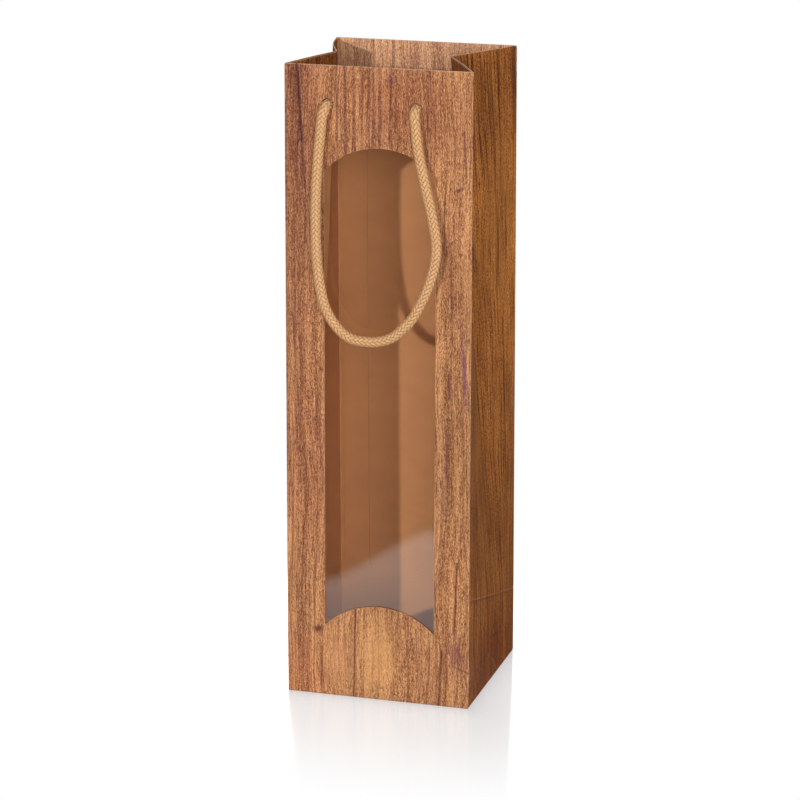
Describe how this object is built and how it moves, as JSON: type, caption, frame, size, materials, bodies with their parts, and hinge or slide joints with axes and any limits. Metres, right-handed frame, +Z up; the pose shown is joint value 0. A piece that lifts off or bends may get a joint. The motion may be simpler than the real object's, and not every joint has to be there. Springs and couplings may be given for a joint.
{
  "type": "bottle bag",
  "caption": "Tall block-bottom paper carrier for one bottle, with pinched side gussets, an arched clear window in the front and rope handles that swing on the front and back.",
  "frame": {"origin": "middle of the underside, where the bag stands", "axes": "+Z up towards the mouth, the window in the front faces -Y, +X to the right seen from the front"},
  "size_m": [0.105, 0.1154, 0.355],
  "materials": {
    "printed_paper": "satin printed kraft paper with dark wood planks",
    "kraft_paper": "plain matt kraft paper",
    "card": "matt grey-brown board",
    "film": "clear glossy film",
    "cord": "braided cotton rope, beige and light brown"
  },
  "bodies": {
    "root": {"back_cord_end_left": "cord", "back_cord_end_right": "cord", "back_hem": "printed_paper", "back_panel": "printed_paper", "back_top_card": "card", "base_card": "card", "bottom_flap_back": "printed_paper", "bottom_flap_front": "printed_paper", "bottom_flap_left": "kraft_paper", "bottom_flap_right": "kraft_paper", "front_cord_end_left": "cord", "front_cord_end_right": "cord", "front_hem": "printed_paper", "front_panel": "printed_paper", "front_top_card": "card", "left_gusset_base": "printed_paper", "right_gusset_base": "printed_paper", "side_seam_tab": "kraft_paper", "window_film": "film"},
    "front_handle": {"front_handle_cord": "cord"},
    "back_handle": {"back_handle_cord": "cord"},
    "right_gusset": {"right_gusset_back": "printed_paper", "right_gusset_back_hem": "printed_paper", "right_gusset_front": "printed_paper", "right_gusset_front_hem": "printed_paper"},
    "left_gusset": {"left_gusset_back": "printed_paper", "left_gusset_back_hem": "printed_paper", "left_gusset_front": "printed_paper", "left_gusset_front_hem": "printed_paper"}
  },
  "joints": [
    {"name": "front_handle_swing", "type": "hinge", "parent": "root", "child": "front_handle", "pos_m": [0, -0.05024, 0.3338], "axis": [-1, 0, 0], "range_deg": [0, 178]},
    {"name": "back_handle_swing", "type": "hinge", "parent": "root", "child": "back_handle", "pos_m": [0, 0.05024, 0.3338], "axis": [1, 0, 0], "range_deg": [0, 178]},
    {"name": "right_gusset_open", "type": "hinge", "parent": "root", "child": "right_gusset", "pos_m": [0.0525, 0, 0.0505], "axis": [0, 1, 0], "range_deg": [0, 4.69]},
    {"name": "left_gusset_open", "type": "hinge", "parent": "root", "child": "left_gusset", "pos_m": [-0.0525, 0, 0.0505], "axis": [0, -1, 0], "range_deg": [0, 2.73]}
  ]
}
